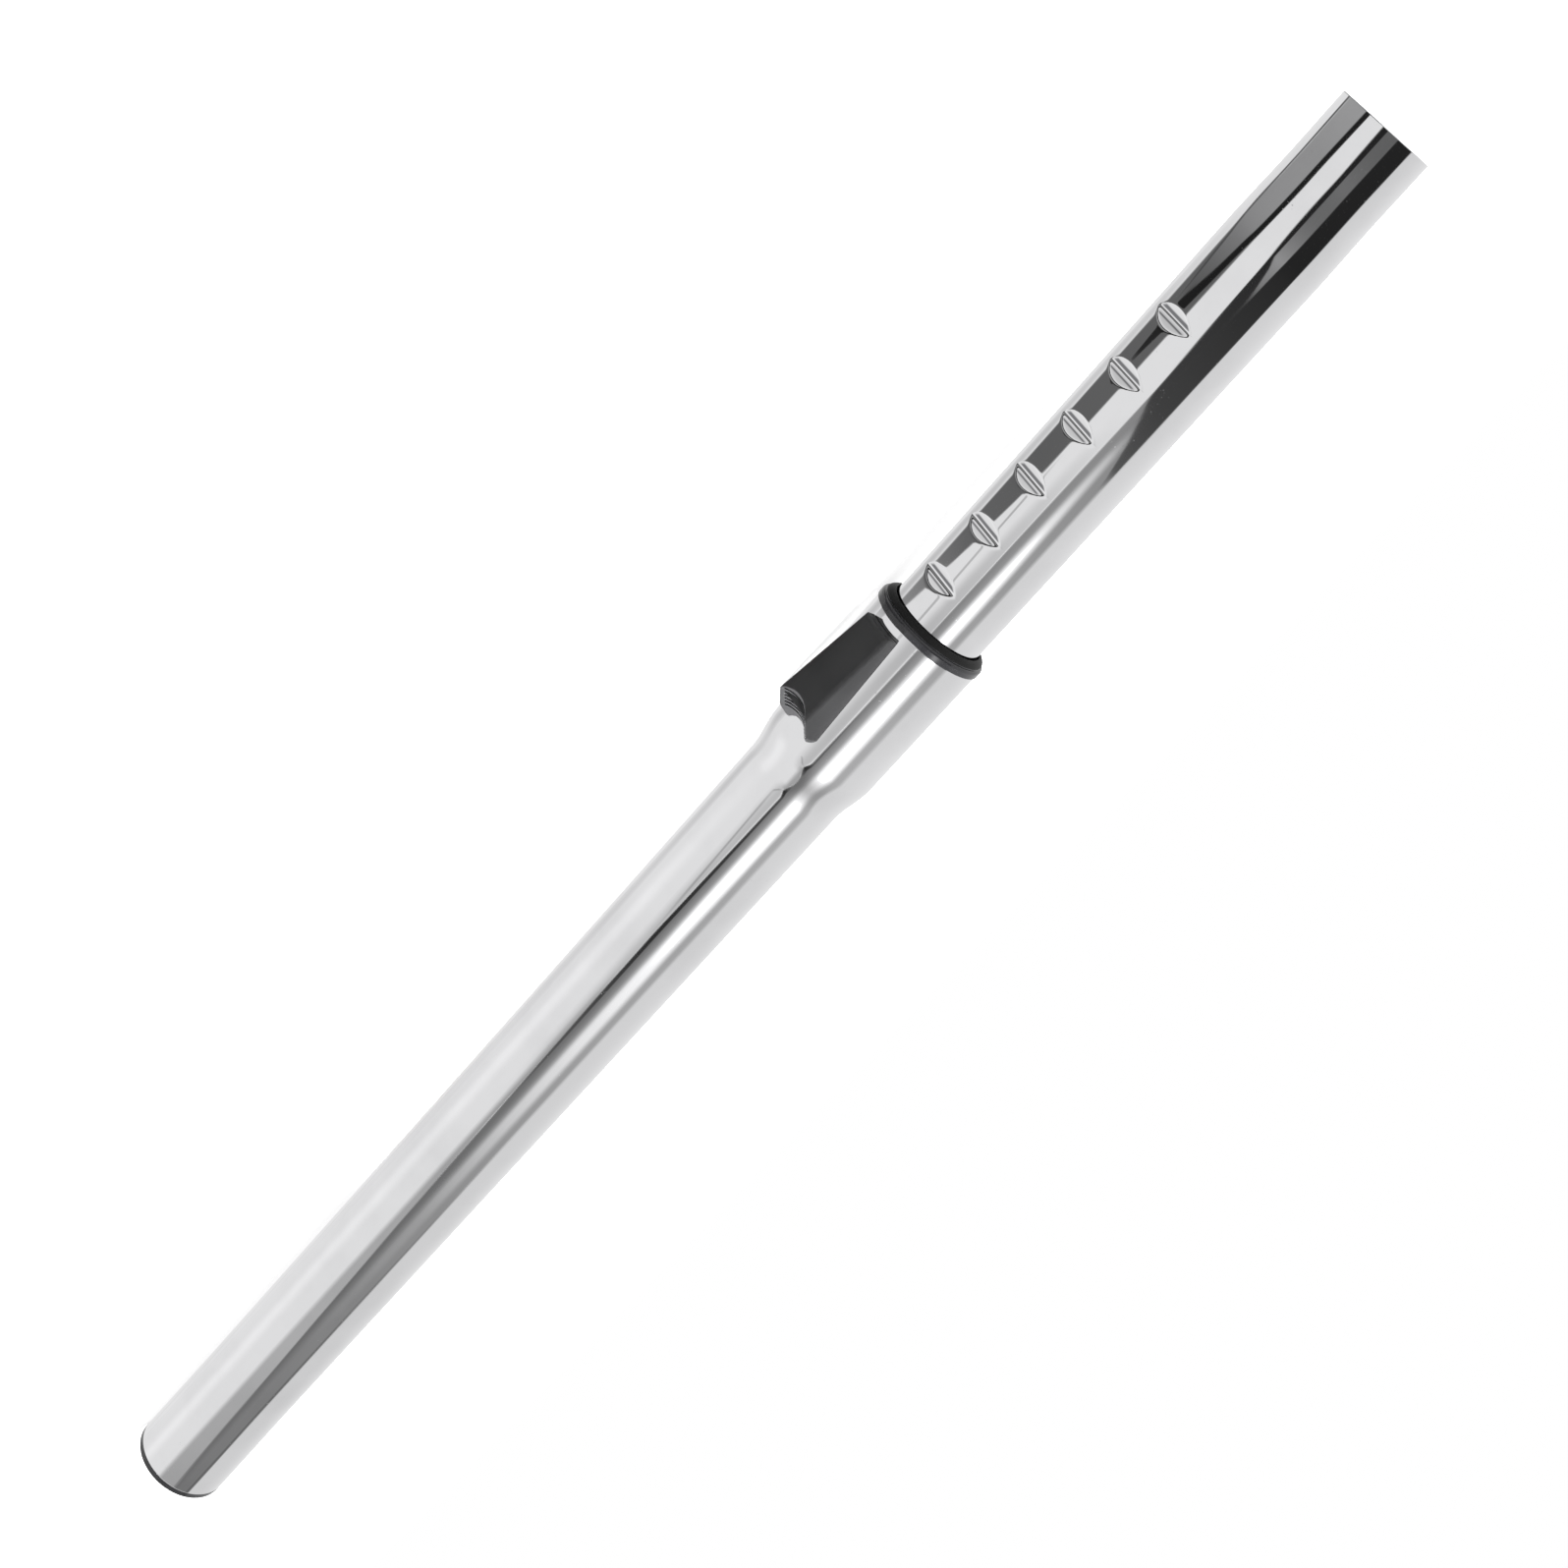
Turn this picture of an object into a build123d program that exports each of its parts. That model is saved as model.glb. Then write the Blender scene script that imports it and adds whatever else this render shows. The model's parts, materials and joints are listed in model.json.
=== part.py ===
from build123d import *
from math import atan, cos, pi, sin
import os

os.makedirs("parts", exist_ok=True)

# Frame: X runs along the tube, from the socket mouth (x = 0) to the free end of the inner tube.
# While modelling, Z points through the release slider. At the end the whole tube is rolled about X
# to the pose it comes to rest in, on its collar, its far rim and a corner of the slider, with Z up.
# All lengths are in millimetres, angles in degrees.
REST_ROLL = -116.35

# Tubes
WALL = 0.7
OUTER_R = 19.0
OUTER_FLARE_R = 19.3
FLARE_LENGTH = 55.0
BELL_R = 21.25
INNER_R = 17.5
SPIGOT_R = 17.0
SPIGOT_LENGTH = 20.0
TAPER_LENGTH = 30.0

# Stations along X
RIM = 2.6
BELL_START = 395.5
BELL_END = 412.5
MOUTH = 466.5
FREE_END = 677.75
HIDDEN_END = 234.5

# Notches of the inner tube
NOTCH_PITCH = 22.0
NOTCH_COUNT = 13
NOTCH_DEPTH = 2.0
NOTCH_R = 3.4
FIRST_NOTCH = MOUTH + 130.0

# Socket liner
LINER_BORE_R = 17.55
LINER_LENGTH = 34.0

# Collar and wiper
COLLAR_R = 21.65
COLLAR_HEIGHT = 5.4
COLLAR_BORE_R = 19.3
COLLAR_LIP_R = 18.05
COLLAR_SKIRT = 6.0
WIPER_R = 17.65
WIPER_TOP = 3.9

# Guide sleeve
SLEEVE_BORE_R = 17.75
SLEEVE_R = 20.4
SLEEVE_NECK_R = 19.2
SLEEVE_LENGTH = 52.0

# Lock
ROLLER_X = MOUTH - 24.0
ROLLER_R = 2.8
ROLLER_HALF = 5.5
ROLLER_GAP = 0.3
SLIDER_TRAVEL = 3.6
ROLLER_LIFT = 2.1

# Release slider
SLIDER_TOP_X = MOUTH - 4.5
SLIDER_TOP_Z = 25.3
SLIDER_TOP_HALF = 7.2
SLIDER_SLOPE = 0.185
SLIDER_SPREAD = 0.038
SLIDER_UPPER_END = MOUTH - 3.6
SLIDER_LOWER_END = MOUTH - 50.2
SLIDER_HALF = 9.1
SLIDER_UPPER_CORNER = 2.0
SLIDER_LOWER_CORNER = 4.5
SLIDER_DRAFT = 0.6
SLIDER_ROUND = 1.5
SLIDER_FLOAT = 0.3
SCOOP_R = 12.0
SCOOP_TOP = (MOUTH - 37.3, 31.35)
SCOOP_FOOT = (MOUTH - 46.6, 21.4)
SCOOP_ROUND = 0.45
RIB_COUNT = 6
RIB_HALF = 6.7
RIB_PITCH = 1.7
RIB_WIDTH = 0.7
RIB_HEIGHT = 0.35

# Window and legs
WINDOW = (MOUTH - 42.5, MOUTH - 7.6)
WINDOW_HALF = 6.9
REAR_LEG = (MOUTH - 41.0, MOUTH - 34.0)
FRONT_LEG = (MOUTH - 15.0, MOUTH - 11.4)
LEG_OUT = 6.6
LEG_IN = 5.4
HOOK_OUT = 7.9
HOOK_Z = (17.2, 18.6)

# Springs
SPRING_Y = 3.6
SPRING_Z = 20.15
SPRING_R = 1.3
SPRING_WIRE = 0.2
SPRING_TURNS = 7
SPRING_FIXED = MOUTH - 8.1
SPRING_LENGTH = 8.0
TROUGH_FLOOR = 18.35

# Hidden end of the inner tube
GLIDE_R = 18.1
GLIDE_LENGTH = 22.0
SEAL_R = 18.2


def turned(points):
    """Solid of revolution about X from (x, radius) points."""
    profile = Polyline(*[(x, 0, r) for x, r in points], close=True)
    return revolve(make_face(profile), axis=Axis.X)


def bar(radius, x0, x1):
    """Round bar along X."""
    return turned([(x0, 0), (x1, 0), (x1, radius), (x0, radius)])


def block(x, y, z):
    """Box from its low and high limits on each axis."""
    size = Box(x[1] - x[0], y[1] - y[0], z[1] - z[0])
    return Pos((x[0] + x[1]) / 2, (y[0] + y[1]) / 2, (z[0] + z[1]) / 2) * size


def both_sides(x, y, z):
    """Two boxes, mirrored across the XZ plane."""
    return block(x, y, z) + block(x, (-y[1], -y[0]), z)


def cross_bar(radius, x, z, half):
    """Round bar along Y."""
    return Pos(x, 0, z) * Rot(90, 0, 0) * Cylinder(radius, 2 * half)


# The bell is a smooth S-curve from the plain tube to the widened mouth
bell_run = BELL_END - BELL_START
bell_rise = BELL_R - OUTER_R


def bell_points(inset):
    """Points of the S-curve, moved inwards by inset."""
    steps = 16
    points = []
    for i in range(steps + 1):
        u = i / steps
        ease = (1 - cos(pi * u)) / 2
        points.append((BELL_START + bell_run * u, OUTER_R - inset + bell_rise * ease))
    return points


def outer_profile(inset, x0, x1):
    """Meridian of the outer tube, moved inwards by inset."""
    start = [(x0, OUTER_FLARE_R - inset), (RIM + FLARE_LENGTH, OUTER_R - inset)]
    return start + bell_points(inset) + [(x1, BELL_R - inset)]


def spun_spline(points):
    """Solid of revolution with a smooth bell between straight runs."""
    bell = Spline(
        *[(x, 0, r) for x, r in points[2:-1]],
        tangents=[(1, 0, 0), (1, 0, 0)],
    )
    x0, x1 = points[0][0], points[-1][0]
    lines = Polyline((x1, 0, points[-1][1]), (x1, 0, 0), (x0, 0, 0), (x0, 0, points[0][1]))
    flare = Polyline(*[(x, 0, r) for x, r in points[:3]])
    run = Line((points[-2][0], 0, points[-2][1]), (x1, 0, points[-1][1]))
    return revolve(make_face([flare, bell, run, lines]), axis=Axis.X)


# Outer tube
outer_tube = spun_spline(outer_profile(0, RIM, MOUTH)) - spun_spline(outer_profile(WALL, RIM, MOUTH))
outer_tube -= block(WINDOW, (-WINDOW_HALF, WINDOW_HALF), (0, 30))

# Socket liner: a rim that covers the cut edge, and a sleeve inside the flare
liner_end = RIM + LINER_LENGTH
flare_slope = (OUTER_FLARE_R - OUTER_R) / FLARE_LENGTH
liner_r0 = OUTER_FLARE_R - WALL - 0.1
liner_r1 = liner_r0 - flare_slope * LINER_LENGTH
socket_liner = turned([
    (0, LINER_BORE_R),
    (0, OUTER_FLARE_R - 0.45),
    (0.15, OUTER_FLARE_R - 0.15),
    (0.45, OUTER_FLARE_R),
    (RIM, OUTER_FLARE_R),
    (RIM, liner_r0),
    (liner_end, liner_r1),
    (liner_end, LINER_BORE_R),
])

# Mouth collar: a band, a groove line, a rounded nose and a recess for the wiper
mouth_collar = turned([
    (MOUTH - COLLAR_SKIRT, COLLAR_BORE_R),
    (MOUTH - COLLAR_SKIRT, BELL_R - WALL - 0.1),
    (MOUTH, BELL_R - WALL - 0.1),
    (MOUTH, COLLAR_R - 0.2),
    (MOUTH + 0.2, COLLAR_R),
    (MOUTH + 2.1, COLLAR_R),
    (MOUTH + 2.6, COLLAR_R - 0.2),
    (MOUTH + 3.0, COLLAR_R - 0.6),
    (MOUTH + 3.15, COLLAR_R - 1.15),
    (MOUTH + 3.4, COLLAR_R - 1.2),
    (MOUTH + 3.6, COLLAR_R - 1.0),
    (MOUTH + 4.0, COLLAR_R - 1.2),
    (MOUTH + 4.5, COLLAR_R - 1.7),
    (MOUTH + 4.95, COLLAR_R - 2.3),
    (MOUTH + 5.25, COLLAR_R - 2.9),
    (MOUTH + COLLAR_HEIGHT, COLLAR_LIP_R + 0.3),
    (MOUTH + COLLAR_HEIGHT - 0.1, COLLAR_LIP_R),
    (MOUTH + WIPER_TOP + 0.1, COLLAR_LIP_R),
    (MOUTH + WIPER_TOP + 0.1, COLLAR_BORE_R),
])

# Wiper ring
wiper_foot = MOUTH + WIPER_TOP - 1.9
wiper_ring = turned([
    (wiper_foot, WIPER_R + 0.5),
    (wiper_foot, COLLAR_BORE_R - 0.1),
    (MOUTH + WIPER_TOP, COLLAR_BORE_R - 0.1),
    (MOUTH + WIPER_TOP, WIPER_R + 0.7),
    (MOUTH + WIPER_TOP - 0.6, WIPER_R),
    (MOUTH + WIPER_TOP - 1.2, WIPER_R),
])

# Guide sleeve with its slots for roller, springs and slider legs
sleeve_start = MOUTH - SLEEVE_LENGTH
guide_sleeve = turned([
    (sleeve_start, SLEEVE_BORE_R + 0.6),
    (sleeve_start, SLEEVE_R - 0.5),
    (sleeve_start + 0.8, SLEEVE_R),
    (MOUTH - COLLAR_SKIRT - 0.2, SLEEVE_R),
    (MOUTH - COLLAR_SKIRT - 0.2, SLEEVE_NECK_R),
    (wiper_foot - 0.1, SLEEVE_NECK_R),
    (wiper_foot - 0.1, SLEEVE_BORE_R),
    (sleeve_start + 0.8, SLEEVE_BORE_R),
])
slot = ROLLER_R + 0.15
guide_sleeve -= block((ROLLER_X - slot, ROLLER_X + slot), (-5.8, 5.8), (0, 30))
trough_x = (MOUTH - 18.2, SPRING_FIXED + 0.05)
guide_sleeve -= both_sides(trough_x, (SPRING_Y - 1.75, SPRING_Y + 1.75), (TROUGH_FLOOR, 30))
guide_sleeve -= both_sides((REAR_LEG[0] - 0.4, REAR_LEG[1] + 4.0), (LEG_IN - 0.4, 8.3), (0, 30))
guide_sleeve -= both_sides((FRONT_LEG[0] - 0.4, FRONT_LEG[1] + 4.0), (LEG_IN - 0.05, 8.3), (0, 30))

# Inner tube: straight run, taper and spigot, then the pressed notches
notches = [FIRST_NOTCH - NOTCH_PITCH * i for i in range(NOTCH_COUNT)]
notch_z = INNER_R - NOTCH_DEPTH + NOTCH_R
spigot_start = FREE_END - SPIGOT_LENGTH
taper_start = spigot_start - TAPER_LENGTH


def inner_solid(inset):
    """Solid bar with the outline of the inner tube, moved inwards by inset."""
    return turned([
        (HIDDEN_END, 0),
        (HIDDEN_END, INNER_R - inset),
        (taper_start, INNER_R - inset),
        (spigot_start, SPIGOT_R - inset),
        (FREE_END, SPIGOT_R - inset),
        (FREE_END, 0),
    ])


grooves = [cross_bar(NOTCH_R, x, notch_z, 20) for x in notches]
backs = [cross_bar(NOTCH_R + WALL, x, notch_z, 20) for x in notches]
inner_tube = (inner_solid(0) - grooves) - (inner_solid(WALL) - backs)

# Lock roller, down in its notch
roller_z = INNER_R - NOTCH_DEPTH + ROLLER_GAP + ROLLER_R
lock_roller = cross_bar(ROLLER_R, ROLLER_X, roller_z, ROLLER_HALF)
lock_roller = chamfer(lock_roller.edges().filter_by(GeomType.CIRCLE), 0.4)

# Release slider: drafted wedge, cut to its outline, its seat and its thumb scoop
slope = atan(SLIDER_SLOPE)
top_plane = Plane(
    origin=(SLIDER_TOP_X, 0, SLIDER_TOP_Z),
    x_dir=(-cos(slope), 0, sin(slope)),
    z_dir=(sin(slope), 0, cos(slope)),
)
top_ends = (-20, 60)
half_0, half_1 = [SLIDER_TOP_HALF + SLIDER_SPREAD * end for end in top_ends]
top_corners = [
    (top_ends[0], half_0),
    (top_ends[0], -half_0),
    (top_ends[1], -half_1),
    (top_ends[1], half_1),
]
top_face = top_plane * Polygon(*top_corners, align=None)
wedge = extrude(top_face, -30, taper=-SLIDER_DRAFT)
wedge -= block((SLIDER_UPPER_END, SLIDER_UPPER_END + 60), (-30, 30), (0, 60))
front = wedge.faces().sort_by(Axis.X)[-1]
front_sides = front.edges().filter_by(lambda e: abs(e.tangent_at(0.5).Z) > 0.5)
wedge = fillet(front_sides, SLIDER_UPPER_CORNER)
top = wedge.faces().filter_by(lambda f: f.normal_at().Z > 0.9).sort_by(Axis.Z)[-1]
rear = top.edges().sort_by(Axis.X)[0]
wedge = fillet([e for e in top.edges() if e.center() != rear.center()], SLIDER_ROUND)
outline = Pos(SLIDER_LOWER_END + 40, 0, 10) * Rectangle(80, 2 * SLIDER_HALF)
outline = fillet(outline.vertices().group_by(Axis.X)[0], SLIDER_LOWER_CORNER)
envelope = wedge & extrude(outline, 40)

dx = SCOOP_FOOT[0] - SCOOP_TOP[0]
dz = SCOOP_FOOT[1] - SCOOP_TOP[1]
run = (dx * dx + dz * dz) ** 0.5
along = Vector(dx / run, 0, dz / run)
outward = Vector(dz / run, 0, -dx / run)
scoop_top = Vector(SCOOP_TOP[0], 0, SCOOP_TOP[1])
scoop_plane = Plane(origin=scoop_top + outward * SCOOP_R, x_dir=(0, 1, 0), z_dir=along)
scoop = scoop_plane * Cylinder(SCOOP_R, 60)
rib_skin = scoop_plane * (Cylinder(SCOOP_R + 0.3, 60) - Cylinder(SCOOP_R - RIB_HEIGHT, 60))
rib_bars = [
    scoop_plane * Pos(0, 0, 2.4 + RIB_PITCH * i) * Box(2 * RIB_HALF, 60, RIB_WIDTH)
    for i in range(RIB_COUNT)
]
ribs = envelope & rib_skin & Compound(rib_bars)


def on_scoop(edge):
    """True where an edge lies on the scoop's round wall."""
    for u in (0.1, 0.5, 0.9):
        arm = edge.position_at(u) - scoop_plane.origin
        if abs((arm - along * arm.dot(along)).length - SCOOP_R) > 0.01:
            return False
    return True


carved = envelope - scoop
carved = fillet(carved.edges().filter_by(on_scoop), SCOOP_ROUND)
seat = bar(BELL_R + SLIDER_FLOAT, MOUTH - 70, MOUTH + 10)
shell = (carved + ribs) - seat

ramp = ROLLER_LIFT / SLIDER_TRAVEL
ramp_angle = atan(ramp)
ramp_z = roller_z + (ROLLER_R + 0.2) / cos(ramp_angle)
pocket_x0 = ROLLER_X - SLIDER_TRAVEL - ROLLER_R - 0.4
pocket_x1 = ROLLER_X + ROLLER_R + 0.5
pocket_z = ramp_z + ramp * 4.5
pocket_outline = Polyline(
    (pocket_x0, 0, 12),
    (pocket_x0, 0, pocket_z),
    (ROLLER_X - 4.5, 0, pocket_z),
    (pocket_x1, 0, ramp_z + ramp * (ROLLER_X - pocket_x1)),
    (pocket_x1, 0, 12),
    close=True,
)
pocket = extrude(make_face(pocket_outline), 5.9, dir=(0, 1, 0), both=True)
relief = both_sides((MOUTH - 16.1, MOUTH - 7.2), (SPRING_Y - 1.75, SPRING_Y + 1.75), (16, 22.0))
hollow = block((MOUTH - 37.5, pocket_x0 - 1.5), (-5.2, 5.2), (16, 27.0))

inside = bar(BELL_R + SLIDER_FLOAT + 0.5, MOUTH - 60, MOUTH)
pads = both_sides((MOUTH - 17.6, MOUTH - 16.1), (SPRING_Y - 1.4, SPRING_Y + 1.4), (18.7, 23.0))
keel = block((pocket_x1, MOUTH - 16.1), (-5.2, 5.2), (20.75, 23.0))
legs = both_sides(REAR_LEG, (LEG_IN, LEG_OUT), (HOOK_Z[0], 22.5))
legs += both_sides(FRONT_LEG, (LEG_IN, LEG_OUT), (HOOK_Z[0], 21.9))
hooks = both_sides(REAR_LEG, (LEG_OUT, HOOK_OUT), HOOK_Z)
hooks += both_sides(FRONT_LEG, (LEG_OUT, HOOK_OUT), HOOK_Z)
release_slider = shell - pocket - relief - hollow + (keel - pocket) + pads + legs + hooks

# Return springs
spring_path = Helix(SPRING_LENGTH / SPRING_TURNS * 0.94, SPRING_LENGTH * 0.94, SPRING_R)
wire = sweep(Plane(origin=spring_path @ 0, z_dir=spring_path % 0) * Circle(SPRING_WIRE), path=spring_path)
spring = Pos(SPRING_FIXED - SPRING_LENGTH + 0.24, 0, SPRING_Z) * Rot(0, 90, 0) * wire
return_spring_a = Pos(0, SPRING_Y, 0) * spring
return_spring_b = Pos(0, -SPRING_Y, 0) * spring

# Glide ring and seal ring on the hidden end
glide_ring = turned([
    (HIDDEN_END - 2.5, INNER_R - WALL),
    (HIDDEN_END - 2.5, GLIDE_R - 0.5),
    (HIDDEN_END - 2.0, GLIDE_R),
    (HIDDEN_END + 4.0, GLIDE_R),
    (HIDDEN_END + 4.0, INNER_R + 0.25),
    (HIDDEN_END + 7.0, INNER_R + 0.25),
    (HIDDEN_END + 7.0, GLIDE_R),
    (HIDDEN_END + GLIDE_LENGTH - 0.5, GLIDE_R),
    (HIDDEN_END + GLIDE_LENGTH, GLIDE_R - 0.4),
    (HIDDEN_END + GLIDE_LENGTH, INNER_R + 0.03),
    (HIDDEN_END - 0.03, INNER_R + 0.03),
    (HIDDEN_END - 0.03, INNER_R - WALL),
])
seal_ring = turned([
    (HIDDEN_END + 4.1, INNER_R + 0.3),
    (HIDDEN_END + 4.1, SEAL_R - 0.15),
    (HIDDEN_END + 4.6, SEAL_R),
    (HIDDEN_END + 6.4, SEAL_R),
    (HIDDEN_END + 6.9, SEAL_R - 0.15),
    (HIDDEN_END + 6.9, INNER_R + 0.3),
])

nodes = {
    "outer_tube": outer_tube,
    "socket_liner": socket_liner,
    "mouth_collar": mouth_collar,
    "wiper_ring": wiper_ring,
    "guide_sleeve": guide_sleeve,
    "release_slider": release_slider,
    "lock_roller": lock_roller,
    "return_spring_a": return_spring_a,
    "return_spring_b": return_spring_b,
    "inner_tube": inner_tube,
    "glide_ring": glide_ring,
    "seal_ring": seal_ring,
}
for name, shape in nodes.items():
    placed = Rot(REST_ROLL, 0, 0) * shape
    export_step(placed, f"parts/{name}.step")
    box = placed.bounding_box()
    print(f"{name}: {len(placed.solids())} solid, {placed.volume:.0f} mm3, {box.min} to {box.max}")
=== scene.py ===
import json
import math

import bmesh
import bpy
import numpy as np
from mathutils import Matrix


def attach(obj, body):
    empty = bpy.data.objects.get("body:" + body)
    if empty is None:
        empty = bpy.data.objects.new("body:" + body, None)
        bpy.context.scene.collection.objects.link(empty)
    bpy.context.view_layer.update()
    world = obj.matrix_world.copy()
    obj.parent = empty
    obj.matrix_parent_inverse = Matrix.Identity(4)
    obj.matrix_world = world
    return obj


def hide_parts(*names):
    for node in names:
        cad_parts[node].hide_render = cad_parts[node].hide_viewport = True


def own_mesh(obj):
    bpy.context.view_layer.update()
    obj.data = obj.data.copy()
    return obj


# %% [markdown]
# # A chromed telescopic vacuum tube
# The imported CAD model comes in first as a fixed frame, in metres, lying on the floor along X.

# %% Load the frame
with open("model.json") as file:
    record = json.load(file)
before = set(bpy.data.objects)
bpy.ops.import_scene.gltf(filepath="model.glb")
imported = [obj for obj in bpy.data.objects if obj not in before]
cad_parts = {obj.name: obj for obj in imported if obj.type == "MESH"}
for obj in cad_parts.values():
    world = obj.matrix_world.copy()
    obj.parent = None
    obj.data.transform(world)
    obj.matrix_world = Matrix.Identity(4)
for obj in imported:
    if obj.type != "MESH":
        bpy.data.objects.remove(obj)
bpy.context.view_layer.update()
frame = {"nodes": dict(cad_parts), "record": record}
nodes = frame["nodes"]

# %% [markdown]
# ## Camera
# The photograph looks along the tube from the free end, a little above the floor, and the camera is
# rolled so that the tube runs corner to corner. A camera could be aimed with a constraint, but a
# rolled one is clearer when its three own axes are written down and made into a matrix.

# %% Place the camera
CAMERA_AT = (0.67235, 0.724, 0.09519)
CAMERA_RIGHT = (0.62631, -0.33664, 0.70314)
CAMERA_UP = (0.69257, -0.17379, -0.7001)
CAMERA_BACK = (0.35788, 0.92546, 0.1243)
LENS_MM = 52.174

camera_data = bpy.data.cameras.new("camera")
camera_data.lens = LENS_MM
camera_data.sensor_width = 36.0
camera_data.clip_start = 0.01
camera = bpy.data.objects.new("camera", camera_data)
bpy.context.scene.collection.objects.link(camera)
for row in range(3):
    camera.matrix_world[row][0] = CAMERA_RIGHT[row]
    camera.matrix_world[row][1] = CAMERA_UP[row]
    camera.matrix_world[row][2] = CAMERA_BACK[row]
    camera.matrix_world[row][3] = CAMERA_AT[row]
bpy.context.scene.camera = camera
print("camera at", CAMERA_AT, "lens", LENS_MM)

# %% [markdown]
# ## Floor and soft light
# The tube lies on its collar, its far rim and a corner of the slider. The collar is thicker than the rim,
# so the floor is tilted by under a third of a degree to touch both. It glows a little, as a light table
# does, which keeps the shadow under the tube faint. A white sky gives even studio light. Chrome shows
# whatever stands around it, so the sky that it mirrors is a light grey of its own. Two lamps model the
# black pieces: a large one overhead, and a small one beside the tube that shines into the thumb scoop.

# %% Floor
COLLAR_RADIUS = 0.02165
RIM_RADIUS = 0.0193
COLLAR_X = 0.468
FLOOR_SIDE = 12.0
FLOOR_GREY = 0.4
FLOOR_GLOW = 0.8

floor_tilt = math.atan((COLLAR_RADIUS - RIM_RADIUS) / COLLAR_X)
floor_mesh = bpy.data.meshes.new("floor")
half = FLOOR_SIDE / 2
floor_corners = [(-half, -half, 0), (half, -half, 0), (half, half, 0), (-half, half, 0)]
floor_mesh.from_pydata(floor_corners, [], [(0, 1, 2, 3)])
floor = bpy.data.objects.new("floor", floor_mesh)
floor.location = (0, 0, -RIM_RADIUS)
floor.rotation_euler = (0, floor_tilt, 0)
floor.visible_glossy = False
bpy.context.scene.collection.objects.link(floor)

floor_paint = bpy.data.materials.new("floor_paint")
floor_paint.use_nodes = True
floor_shader = floor_paint.node_tree.nodes["Principled BSDF"]
floor_shader.inputs["Base Color"].default_value = (FLOOR_GREY, FLOOR_GREY, FLOOR_GREY, 1)
floor_shader.inputs["Roughness"].default_value = 0.9
floor_shader.inputs["Specular IOR Level"].default_value = 0.0
floor_shader.inputs["Emission Color"].default_value = (1, 1, 1, 1)
floor_shader.inputs["Emission Strength"].default_value = FLOOR_GLOW
floor_mesh.materials.append(floor_paint)
print("floor tilted", round(math.degrees(floor_tilt), 2), "degrees")

# %% Sky
SKY_WHITE = 1.0
SKY_IN_CHROME = 0.88

world = bpy.data.worlds.new("studio")
bpy.context.scene.world = world
world.use_nodes = True
sky = world.node_tree
sky.nodes.clear()
sky_out = sky.nodes.new("ShaderNodeOutputWorld")
sky_mix = sky.nodes.new("ShaderNodeMixShader")
sky_white = sky.nodes.new("ShaderNodeBackground")
sky_white.inputs["Color"].default_value = (1, 1, 1, 1)
sky_white.inputs["Strength"].default_value = SKY_WHITE
sky_chrome = sky.nodes.new("ShaderNodeBackground")
sky_chrome.inputs["Color"].default_value = (1, 1, 1, 1)
sky_chrome.inputs["Strength"].default_value = SKY_IN_CHROME
ray = sky.nodes.new("ShaderNodeLightPath")
sky.links.new(ray.outputs["Is Glossy Ray"], sky_mix.inputs[0])
sky.links.new(sky_white.outputs[0], sky_mix.inputs[1])
sky.links.new(sky_chrome.outputs[0], sky_mix.inputs[2])
sky.links.new(sky_mix.outputs[0], sky_out.inputs["Surface"])
print("sky", SKY_WHITE, "and in chrome", SKY_IN_CHROME)

# %% Two soft lamps


def soft_lamp(name, width, depth, watts, place_m, turn_deg):
    """Area lamp that lights surfaces but isn't mirrored in the chrome."""
    data = bpy.data.lights.new(name, "AREA")
    data.shape = "RECTANGLE"
    data.size = width
    data.size_y = depth
    data.energy = watts
    lamp = bpy.data.objects.new(name, data)
    lamp.location = place_m
    lamp.rotation_euler = [math.radians(v) for v in turn_deg]
    lamp.visible_glossy = False
    bpy.context.scene.collection.objects.link(lamp)


soft_lamp("overhead", width=1.6, depth=1.2, watts=95, place_m=(0.35, 0.25, 1.5), turn_deg=(-8, 0, 0))
soft_lamp(
    "scoop_fill", width=0.05, depth=0.05, watts=9.5, place_m=(0.165, 0.075, 0.008), turn_deg=(86, 0, -100))
bpy.context.scene.view_settings.view_transform = "Standard"
print("lamps", [light.name for light in bpy.data.lights])

# %% [markdown]
# ## Strip lights and flags for the chrome
# A photographer shapes chrome with long cards laid beside it: bright ones draw white stripes, black
# ones draw dark lines. Each card here is a strip of a wide cylinder around the tube. Its rows give
# the place along the tube, two angles about it (from straight up towards the camera's side) and a
# brightness. Only reflections see the cards, so no view has one in its way.

# %% Card finish


def card_paint():
    """Glow from the card's own brightness, fading out at its edges."""
    paint = bpy.data.materials.new("card_glow")
    paint.use_nodes = True
    tree = paint.node_tree
    tree.nodes.clear()
    out = tree.nodes.new("ShaderNodeOutputMaterial")
    mix = tree.nodes.new("ShaderNodeMixShader")
    glow = tree.nodes.new("ShaderNodeEmission")
    clear = tree.nodes.new("ShaderNodeBsdfTransparent")
    tone = tree.nodes.new("ShaderNodeAttribute")
    tone.attribute_name = "tone"
    cover = tree.nodes.new("ShaderNodeAttribute")
    cover.attribute_name = "cover"
    tree.links.new(tone.outputs["Fac"], glow.inputs["Strength"])
    tree.links.new(cover.outputs["Fac"], mix.inputs[0])
    tree.links.new(clear.outputs[0], mix.inputs[1])
    tree.links.new(glow.outputs[0], mix.inputs[2])
    tree.links.new(mix.outputs[0], out.inputs["Surface"])
    return paint


CARD_PAINT = card_paint()
print("card finish", CARD_PAINT.name)

# %% Card maker
CARD_RADIUS = 0.72
LAYER_GAP = 0.01
CARD_STEPS = 6
CARD_COLUMNS = 24

cards = []


def smooth(v):
    """Ease from 0 to 1."""
    v = np.clip(v, 0, 1)
    return v * v * (3 - 2 * v)


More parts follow.
